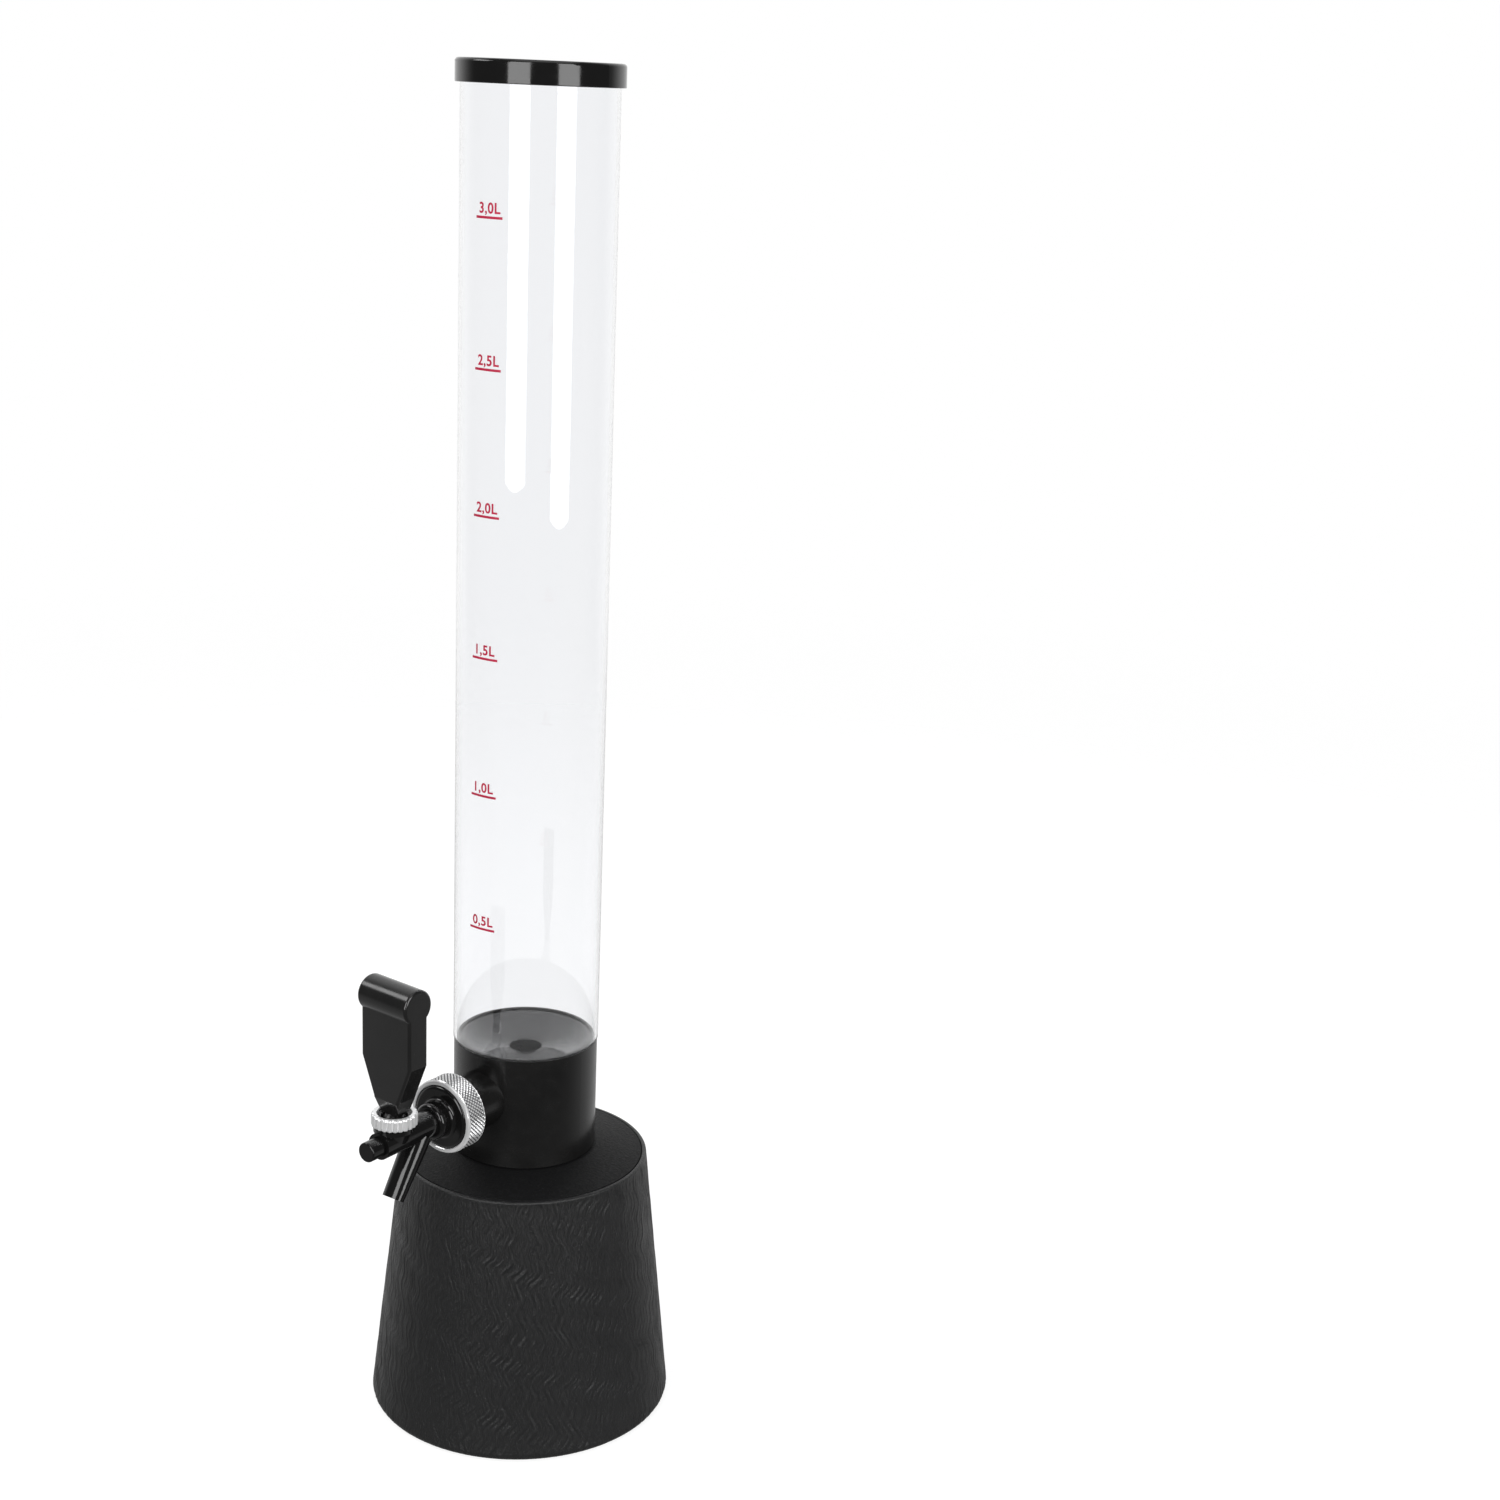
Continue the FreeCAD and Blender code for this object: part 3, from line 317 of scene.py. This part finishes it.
def clear_plastic():
    """Clear tube: real refraction, with lamps let through for shadows."""
    mt = Mat("clear_plastic")
    haze = mt.span(mt.noise(mt.scaled(1, 1, 0.15), 60, 3.0, 0.5), 0.0, 0.018, 0.45, 0.75)
    col = mt.ramp(mt.noise(mt.scaled(1, 1, 0.1), 20, 2.0, 0.5), [(0.3, (0.950, 0.955, 0.966)), (0.7, (0.960, 0.964, 0.972))])
    wave = mt.bump(mt.noise(mt.scaled(1, 1, 0.08), 45, 2.0, 0.4), 0.10, 0.0002)
    glass = mt.shader(Base_Color=col, Roughness=haze, Transmission_Weight=1.0, IOR=1.49, Normal=wave)
    clear = mt.node("BsdfTransparent")
    clear.inputs["Color"].default_value = (0.94, 0.95, 0.96, 1)
    lp = mt.node("LightPath")
    mix = mt.node("MixShader")
    mt.wire(lp.outputs["Is Shadow Ray"], mix.inputs[0])
    mt.wire(glass.outputs[0], mix.inputs[1])
    mt.wire(clear.outputs[0], mix.inputs[2])
    return mt.done(mix)


def red_print():
    mt = Mat("red_print")
    col = mottled(mt, mt.co, 700, (0.42, 0.010, 0.045), (0.55, 0.022, 0.07))
    r = mt.span(mt.noise(mt.co, 900, 3.0, 0.6), 0.35, 0.5, 0.3, 0.7)
    return mt.done(mt.shader(Base_Color=col, Roughness=r))


M = {
    "bark": bark_plastic(), "deck": bark_plastic("deck_plastic", 0.17, (0.66, 0.50), deep=0.0004),
    "satin": satin_black("satin_black", 0.0075, (0.20, 0.28), 0.42), "gloss": gloss_black(), "handle": gloss_black("handle_black", 0.011, (0.13, 0.20), 0.55),
    "chrome": chrome(), "steel": plain_metal("zinc_steel", (0.50, 0.50, 0.49), (0.62, 0.62, 0.61), (0.25, 0.38)),
    "brass": plain_metal("turned_brass", (0.66, 0.50, 0.22), (0.76, 0.60, 0.29), (0.22, 0.34)),
    "rubber": rubber(), "dish": grey_dish(), "white": white_plastic(), "clear": clear_plastic(), "print": red_print(),
}


def paint(obj, mat):
    obj.data.materials.clear()
    obj.data.materials.append(mat)


LOOK = {
    "base_shell": "bark", "base_deck_plate": "deck", "base_bottom_cover": "satin", "foot_pad": "rubber", "cover_screws": "steel",
    "tower_cup": "satin", "cup_ring_nut": "satin", "cup_nut_washer": "rubber", "floor_dish": "dish", "tube_gasket": "rubber",
    "tube": "clear", "cap": "gloss", "cap_gasket": "rubber", "tap_body": "gloss", "ring_nut": "chrome", "tap_outer_gasket": "rubber",
    "tap_inner_gasket": "rubber", "tap_lock_nut": "satin", "front_plug": "gloss", "valve_shaft": "white", "valve_washer": "rubber",
    "valve_washer_screw": "steel", "lever": "satin", "ball_seat_washer": "white", "ball_retainer": "satin", "bonnet_nut": "chrome",
    "handle": "handle", "handle_insert": "brass",
}
for node, look in LOOK.items():
    paint(N[node], M[look])


# ------------------------------------------------------------------ base with its bark texture
def waves(count, seed, low, high):
    """Smooth random function of (angle, height) made of sines that close round the circle."""
    g = np.random.default_rng(seed)
    k = g.integers(low, high, count)
    m = g.uniform(-1, 1, count)
    ph = g.uniform(0, TAU, count)
    amp = g.uniform(0.5, 1.0, count)
    amp = amp / amp.sum()
    return k, m, ph, amp


def field(w, a, z, zscale):
    k, m, ph, amp = w
    s = np.zeros_like(a)
    for i in range(len(k)):
        s += amp[i] * np.sin(k[i] * a + m[i] * z * zscale + ph[i])
    return s


def base_skin():
    rim_r, rim_z, rim_in, rim_in_z = 78.45, 169.5, 75.6, 170.0
    outer = arc(91.9, 5.5, 4.5, -90, -4, 8)
    wall = steps(outer[-1], (rim_r, rim_z - 1.0), 190)
    rim = [(rim_r, rim_z - 1.0), (rim_r - 0.12, rim_z - 0.35), (rim_r - 0.5, rim_z + 0.15), (rim_r - 1.1, rim_z + 0.42),
           (rim_r - 2.0, 170.0), (rim_in + 0.35, 169.95), (rim_in + 0.06, 169.7), (rim_in, 169.3)]
    inner = [(rim_in, 166.914), (46.5, 173.2), (41.6, 173.2), (41.6, 170.2), (46.5, 170.2), (72.3, 164.63), (88.0, 7.0), (89.0, 1.0)]
    prof = outer[:-1] + wall + rim + inner
    n_wall0, n_wall1 = 2, len(outer) - 1 + len(wall) + 1
    seg = 900
    a = np.arange(seg) * TAU / seg
    coarse, mid, fine = waves(26, 3, 20, 70), waves(40, 5, 90, 190), waves(46, 9, 180, 330)
    verts = []
    for i, (r, z) in enumerate(prof):
        rr = np.full(seg, float(r))
        if n_wall0 <= i <= n_wall1:
            za = np.full(seg, float(z))
            drift = 0.035 * np.sin(za * 0.11 + 5 * a) + 0.02 * np.sin(za * 0.31 + 11 * a)
            h = 0.9 * field(coarse, a + drift, za, 0.05) + 1.6 * field(mid, a + drift, za, 0.10) + 1.3 * field(fine, a + drift, za, 0.22)
            fade = min(1.0, (i - n_wall0 + 1) / 6, (n_wall1 - i + 1) / 5)
            rr = rr - fade * 0.42 * np.clip(0.5 - h, 0, 1.25)
        verts.append(np.stack([rr * np.cos(a), rr * np.sin(a), np.full(seg, float(z))], 1))
    v = np.concatenate(verts) * MM
    n = len(prof)
    faces = []
    for i in range(n):
        j = (i + 1) % n
        base_i, base_j = i * seg, j * seg
        for k in range(seg):
            m = (k + 1) % seg
            faces.append((base_i + k, base_i + m, base_j + m, base_j + k))
    o = mesh_object("base_shell_skin", v, faces, True, 50)
    fix_normals(o)
    paint(o, M["bark"])
    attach(o, "tower")
    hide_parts("base_shell")
    return o


base_skin()


# ------------------------------------------------------------------ clear tube, smooth and with eased ends
def tube_skin():
    ro, ri, lo, hi, e = 45.5, 43.5, 248.8, 834.4, 0.35
    prof = ([(ri + e, lo), (ro - e, lo)] + [(ro, lo + e)] + steps((ro, lo + e), (ro, hi - e), 24)[1:] + [(ro, hi - e), (ro - e, hi), (ri + e, hi)]
            + [(ri, hi - e)] + steps((ri, hi - e), (ri, lo + e), 24)[1:] + [(ri, lo + e)])
    v, f = lathe([(r * MM, z * MM) for r, z in prof], 288)
    o = mesh_object("tube_clear", v, f, True, 40)
    fix_normals(o)
    paint(o, M["clear"])
    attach(o, "tower")
    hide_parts("tube")


tube_skin()


# ------------------------------------------------------------------ printed scale, wrapped on the tube
def wrap_print():
    radius, azimuth = 45.56 * MM, math.radians(1.65)
    verts, faces = [], []

    def add(vs, fs, x0, z0):
        base = len(verts)
        for x, z in vs:
            a = azimuth + (x + x0) / radius
            verts.append((radius * math.sin(a), -radius * math.cos(a), z + z0))
        faces.extend([tuple(i + base for i in f) for f in fs])

    for i in range(6):
        z = (332.1 + 84.2 * i) * MM
        wide, thick, cols = 18.7 * MM, 1.45 * MM, 12
        vs = [(wide * (c / cols - 0.5), t) for t in (-thick / 2, thick / 2) for c in range(cols + 1)]
        fs = [(c, c + 1, c + cols + 2, c + cols + 1) for c in range(cols)]
        add(vs, fs, 0, z)
        word = "%d,%dL" % divmod(5 * (i + 1), 10)
        cu = bpy.data.curves.new("word", "FONT")
        cu.body = word
        cu.size = 8.2 * MM
        cu.space_character = 1.08
        cu.offset = 0.22 * MM
        cu.resolution_u = 6
        t = link(bpy.data.objects.new("word", cu))
        dg = bpy.context.evaluated_depsgraph_get()
        me = bpy.data.meshes.new_from_object(t.evaluated_get(dg))
        pts = [(v.co.x, v.co.y) for v in me.vertices]
        x0, x1 = min(p[0] for p in pts), max(p[0] for p in pts)
        y0 = min(p[1] for p in pts if p[0] > x0 + 0.75 * (x1 - x0))
        vs = [(p[0] - (x0 + x1) / 2, p[1] - y0 + 2.2 * MM) for p in pts]
        add(vs, [tuple(p.vertices) for p in me.polygons], 0.6 * MM, z)
        bpy.data.objects.remove(t)
        bpy.data.meshes.remove(me)
        bpy.data.curves.remove(cu)
    o = mesh_object("scale_print", verts, faces, False)
    paint(o, M["print"])
    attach(o, "tower")


wrap_print()


# ------------------------------------------------------------------ knurled ring nut
def turn_to_tap(o, z=219.4):
    """The piece's own Z axis lies along the tap, pointing forward (-Y)."""
    m = Matrix(((1, 0, 0, 0), (0, 0, -1, 0), (0, 1, 0, z * MM), (0, 0, 0, 1)))
    o.data.transform(m)
    o.data.update()


def ring_nut_skin():
    back, front, ro = 64.65, 80.2, 23.3
    hole, cup_r, depth = 8.6, 20.35, 4.3
    seg, count = 672, 56
    lo, hi = back + 0.9, front - 1.5
    rows = 44
    prof = [(hole, back), (ro - 1.2, back), (ro - 0.55, back + 0.12), (ro - 0.25, back + 0.45)]
    k0 = len(prof)
    prof += [(ro, lo + (hi - lo) * i / rows) for i in range(rows + 1)]
    k1 = len(prof)
    prof += [(ro - 0.35, front - 1.2), (ro - 0.28, front - 0.6), (ro - 0.6, front - 0.16), (ro - 1.1, front), (cup_r + 0.35, front),
             (cup_r, front - 0.35), (cup_r, front - depth), (hole, front - depth)]

    def turn(r, y, a, i):
        if not k0 <= i < k1:
            return r, y
        t = (y - lo) / (hi - lo)
        u = a * count / TAU
        w = (y - lo) / 2.65 * 1.0
        p, q = (u + w) % 1.0, (u - w) % 1.0
        tri = min(1 - abs(2 * p - 1), 1 - abs(2 * q - 1))
        groove = max(0.0, 1.0 - tri / 0.55)
        ease = min(1.0, t / 0.03, (1 - t) / 0.03)
        return r - 0.70 * groove * ease, y

    v, f = lathe([(r, z) for r, z in prof], seg, turn)
    v = np.array(v) * MM
    o = mesh_object("ring_nut_knurled", v, f, True, 32)
    # painted shade: groove depth stored per point, which darkens the chrome's base colour in the knurl grooves
    painted_groove_shade = o.data.attributes.new("groove", "FLOAT", "POINT")
    full = np.hypot(v[:, 0], v[:, 1]) / MM
    plain = np.repeat(np.array([r for r, _ in prof]), seg)
    painted_groove_shade.data.foreach_set("value", np.clip((plain - full) / 0.45, 0, 1).astype(np.float32))
    turn_to_tap(o)
    fix_normals(o)
    paint(o, M["chrome"])
    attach(o, "ring_nut")
    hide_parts("ring_nut")


ring_nut_skin()


# ------------------------------------------------------------------ fluted bonnet nut
def bonnet_nut_skin():
    lo, hi, ro = 229.4, 237.3, 13.9
    hole, lip_r, lip_lo = 10.98, 10.5, 236.0
    count, seg = 24, 24 * 18
    prof = [(hole, lo), (ro - 1.0, lo), (ro - 0.45, lo + 0.2), (ro - 0.12, lo + 0.6), (ro, lo + 1.1)]
    k0 = 1
    prof += [(ro, lo + 1.1 + (hi - lo - 2.3) * i / 8) for i in range(1, 9)]
    prof += [(ro - 0.15, hi - 0.7), (ro - 0.5, hi - 0.25), (ro - 1.1, hi)]
    k1 = len(prof)
    prof += [(lip_r + 0.3, hi), (lip_r, hi - 0.3), (lip_r, lip_lo), (hole, lip_lo)]

    def turn(r, z, a, i):
        if not k0 <= i < k1:
            return r, z
        c = 0.5 + 0.5 * math.cos(a * count)
        return r - 1.0 * (1 - c ** 0.55), z

    v, f = lathe(prof, seg, turn)
    v = np.array(v) * MM
    v[:, 1] -= 120.7 * MM
    o = mesh_object("bonnet_nut_fluted", v, f, True, 38)
    fix_normals(o)
    paint(o, M["chrome"])
    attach(o, "bonnet_nut")
    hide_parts("bonnet_nut")


bonnet_nut_skin()


# ------------------------------------------------------------------ floor, world and lights
def floor():
    o = mesh_object("floor", [(-6, -6, 0), (6, -6, 0), (6, 6, 0), (-6, 6, 0)], [(0, 1, 2, 3)], False)
    mt = Mat("floor")
    lit = mt.node("BsdfDiffuse")
    lit.inputs["Color"].default_value = (0.34, 0.34, 0.34, 1)
    glow = mt.node("Emission")
    glow.inputs["Color"].default_value = (1, 1, 1, 1)
    glow.inputs["Strength"].default_value = 0.82
    add = mt.node("AddShader")
    mt.wire(lit.outputs[0], add.inputs[0])
    mt.wire(glow.outputs[0], add.inputs[1])
    # the lens and the tube see the pale sweep; polished black pieces mirror a dim one
    dim = mt.node("Emission")
    along = mt.node("VectorMath", operation="DOT_PRODUCT")
    mt.wire(mt.co, along.inputs[0])
    along.inputs[1].default_value = (away.x, away.y, 0)
    back = mt.node("MapRange", interpolation_type="SMOOTHSTEP")
    for k, v in (("From Min", -0.40), ("From Max", 0.34), ("To Min", 0.09), ("To Max", 0.62)):
        back.inputs[k].default_value = v
    mt.wire(along.outputs["Value"], back.inputs["Value"])
    mt.wire(back.outputs["Result"], dim.inputs["Strength"])
    lp = mt.node("LightPath")
    seen = mt.math("MAXIMUM", lp.outputs["Is Camera Ray"], lp.outputs["Is Transmission Ray"])
    pick = mt.node("MixShader")
    mt.wire(seen, pick.inputs[0])
    mt.wire(dim.outputs[0], pick.inputs[1])
    mt.wire(add.outputs[0], pick.inputs[2])
    clear = mt.node("BsdfTransparent")
    length = mt.node("VectorMath", operation="LENGTH")
    mt.wire(mt.co, length.inputs[0])
    fade = mt.node("MapRange", interpolation_type="SMOOTHSTEP")
    fade.inputs["From Min"].default_value, fade.inputs["From Max"].default_value = 0.9, 2.6
    mt.wire(length.outputs["Value"], fade.inputs["Value"])
    mix = mt.node("MixShader")
    mt.wire(fade.outputs["Result"], mix.inputs[0])
    mt.wire(pick.outputs[0], mix.inputs[1])
    mt.wire(clear.outputs[0], mix.inputs[2])
    mt.done(mix)
    paint(o, mt.m)


floor()


def world():
    w = bpy.data.worlds.new("studio")
    bpy.context.scene.world = w
    w.use_nodes = True
    t = w.node_tree
    t.nodes.clear()
    out = t.nodes.new("ShaderNodeOutputWorld")
    bg = t.nodes.new("ShaderNodeBackground")
    co = t.nodes.new("ShaderNodeTexCoord")
    dot = t.nodes.new("ShaderNodeVectorMath")
    dot.operation = "DOT_PRODUCT"
    dot.inputs[1].default_value = (away.x, away.y, 0)
    t.links.new(co.outputs["Generated"], dot.inputs[0])
    rng_ = t.nodes.new("ShaderNodeMapRange")
    rng_.interpolation_type = "SMOOTHSTEP"
    for k, v in (("From Min", 0.15), ("From Max", 0.75), ("To Min", 0.09), ("To Max", 1.0)):
        rng_.inputs[k].default_value = v
    t.links.new(dot.outputs["Value"], rng_.inputs["Value"])
    lp = t.nodes.new("ShaderNodeLightPath")
    seen = t.nodes.new("ShaderNodeMath")
    seen.operation = "MAXIMUM"
    t.links.new(lp.outputs["Is Camera Ray"], seen.inputs[0])
    t.links.new(lp.outputs["Is Transmission Ray"], seen.inputs[1])
    mix = t.nodes.new("ShaderNodeMix")
    mix.data_type = "FLOAT"
    t.links.new(seen.outputs["Value"], mix.inputs[0])
    t.links.new(rng_.outputs["Result"], mix.inputs[2])
    mix.inputs[3].default_value = 1.0
    t.links.new(mix.outputs[0], bg.inputs["Strength"])
    bg.inputs["Color"].default_value = (1, 1, 1, 1)
    t.links.new(bg.outputs[0], out.inputs["Surface"])


world()


def softbox(name, place, look_at, wide, high, power, seen=True):
    li = bpy.data.lights.new(name, "AREA")
    li.shape = "RECTANGLE"
    li.size, li.size_y = wide, high
    li.energy = power
    o = link(bpy.data.objects.new(name, li))
    o.location = place
    o.rotation_euler = (Vector(look_at) - Vector(place)).to_track_quat("-Z", "Y").to_euler()
    o.visible_camera = False
    o.visible_transmission = False
    if not seen:
        o.visible_glossy = False
    return o


def around(deg, dist, z):
    """A place at an angle from the camera's side of the tower: + to the camera's right."""
    toward = -away
    side = Vector((-toward.y, toward.x, 0))
    a = math.radians(deg)
    d = toward * math.cos(a) + side * math.sin(a)
    return Vector((d.x * dist, d.y * dist, z))


def strips():
    for name, a0, a1, low, high in (("window_left", -44, -14, 0.16, 2.4), ("window_right", 23, 52, 0.10, 2.4)):
        dist = 2.6
        mid = (a0 + a1) / 2
        wide = 2 * dist * math.tan(math.radians((a1 - a0) / 2))
        tall = high - low
        radiance = 5.4
        softbox(name, around(mid, dist, (low + high) / 2), (0, 0, (low + high) / 2), wide, tall, radiance * math.pi * wide * tall)


strips()
# high on the left, for the streak along the cross bar
softbox("left_high", (-1.32, -0.98, 1.72), (0, -0.12, 0.3), 0.9, 0.7, 4.5 * math.pi * 0.63)
softbox("top", (0.25, -0.2, 2.4), (0, 0, 0.3), 1.6, 1.6, 8)

sc = bpy.context.scene
sc.view_settings.view_transform = "Standard"
sc.view_settings.look = "None"
